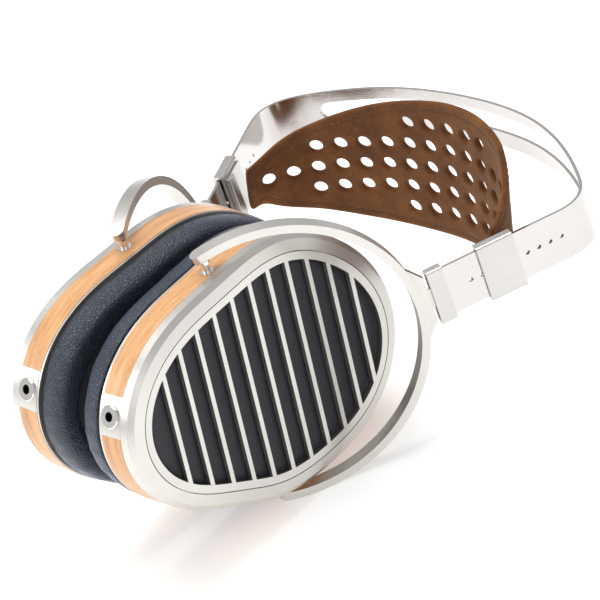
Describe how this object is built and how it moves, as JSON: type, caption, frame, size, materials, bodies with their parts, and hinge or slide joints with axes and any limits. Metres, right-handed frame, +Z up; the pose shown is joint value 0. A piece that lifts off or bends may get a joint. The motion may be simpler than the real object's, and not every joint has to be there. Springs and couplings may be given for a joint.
{
  "type": "over ear headphones",
  "caption": "Open-back over-ear headphones with barred oval cups, wood bands, padded cushions, hoop yokes, a sprung steel head band and a perforated strap.",
  "frame": {"origin": "centre of the bounding box in plan, at its lowest face", "axes": "+X from the left cup to the right cup, +Y from the cup bottoms to the crown, +Z up, front to back of the head, as the headphones lie on one side"},
  "size_m": [0.1694, 0.2242, 0.1132],
  "materials": {
    "satin_aluminium": "bead blasted and anodised, satin",
    "brushed_steel": "fine brushed",
    "spring_steel": "polished spring steel",
    "nickel": "polished nickel",
    "light_wood": "satin lacquered light veneer",
    "black_plastic": "matte",
    "dark_mesh": "fine woven cloth",
    "magnet": "plated magnet bars",
    "film": "thin metallised film",
    "black_fabric": "soft knitted cloth",
    "black_leather": "grained, slight sheen",
    "brown_suede": "suede"
  },
  "bodies": {
    "band_body": {"band": "spring_steel", "holder_right": "brushed_steel", "holder_left": "brushed_steel"},
    "strap_body": {"strap": "brown_suede"},
    "cup_body_right": {"grille_right": "satin_aluminium", "rim_right": "satin_aluminium", "cup_shell_right": "black_plastic", "wood_band_right": "light_wood", "jack_plate_right": "satin_aluminium", "jack_socket_right": "nickel", "base_plate_right": "satin_aluminium", "dust_mesh_right": "dark_mesh", "driver_frame_right": "black_plastic", "outer_magnets_right": "magnet", "inner_magnets_right": "magnet", "diaphragm_right": "film", "inner_cloth_right": "black_fabric", "pad_ring_right": "black_plastic", "pad_body_right": "black_leather", "pad_face_right": "black_fabric", "pivot_bushes_right": "nickel"},
    "yoke_body_right": {"yoke_right": "satin_aluminium", "pivot_pins_right": "nickel"},
    "slider_body_right": {"slider_right": "brushed_steel", "detent_spring_right": "spring_steel", "strap_clip_right": "brushed_steel"},
    "cup_body_left": {"grille_left": "satin_aluminium", "rim_left": "satin_aluminium", "cup_shell_left": "black_plastic", "wood_band_left": "light_wood", "jack_plate_left": "satin_aluminium", "jack_socket_left": "nickel", "base_plate_left": "satin_aluminium", "dust_mesh_left": "dark_mesh", "driver_frame_left": "black_plastic", "outer_magnets_left": "magnet", "inner_magnets_left": "magnet", "diaphragm_left": "film", "inner_cloth_left": "black_fabric", "pad_ring_left": "black_plastic", "pad_body_left": "black_leather", "pad_face_left": "black_fabric", "pivot_bushes_left": "nickel"},
    "yoke_body_left": {"yoke_left": "satin_aluminium", "pivot_pins_left": "nickel"},
    "slider_body_left": {"slider_left": "brushed_steel", "detent_spring_left": "spring_steel", "strap_clip_left": "brushed_steel"}
  },
  "joints": [
    {"name": "slider_travel_right", "type": "slide", "parent": "band_body", "child": "slider_body_right", "axis": [0.4226, 0.9063, 0], "range_m": [0, 0.0184], "deforming": ["detent_spring_right"]},
    {"name": "yoke_swivel_right", "type": "hinge", "parent": "band_body", "child": "yoke_body_right", "pos_m": [0.05953, 0.01454, 0.0566], "axis": [0.4226, 0.9063, 0], "range_deg": [-2.5, 2.5]},
    {"name": "cup_tilt_right", "type": "hinge", "parent": "yoke_body_right", "child": "cup_body_right", "pos_m": [0.02283, -0.04746, 0.0566], "axis": [0, 0, 1], "range_deg": [-4.3, 0.6]},
    {"name": "slider_travel_left", "type": "slide", "parent": "band_body", "child": "slider_body_left", "axis": [-0.4226, 0.9063, 0], "range_m": [0, 0.0184], "deforming": ["detent_spring_left"]},
    {"name": "yoke_swivel_left", "type": "hinge", "parent": "band_body", "child": "yoke_body_left", "pos_m": [-0.05727, 0.01454, 0.0566], "axis": [-0.4226, 0.9063, 0], "range_deg": [-2.5, 2.5]},
    {"name": "cup_tilt_left", "type": "hinge", "parent": "yoke_body_left", "child": "cup_body_left", "pos_m": [-0.02057, -0.04746, 0.0566], "axis": [0, 0, -1], "range_deg": [-4.3, 0.6]},
    {"name": "strap_travel", "type": "slide", "parent": "band_body", "child": "strap_body", "axis": [0, 1, 0], "range_m": [0, 0.01668]}
  ],
  "couplings": [
    {"joint": "slider_travel_left", "follows": "slider_travel_right", "ratio": 1},
    {"joint": "strap_travel", "follows": "slider_travel_right", "ratio": 0.90631}
  ]
}
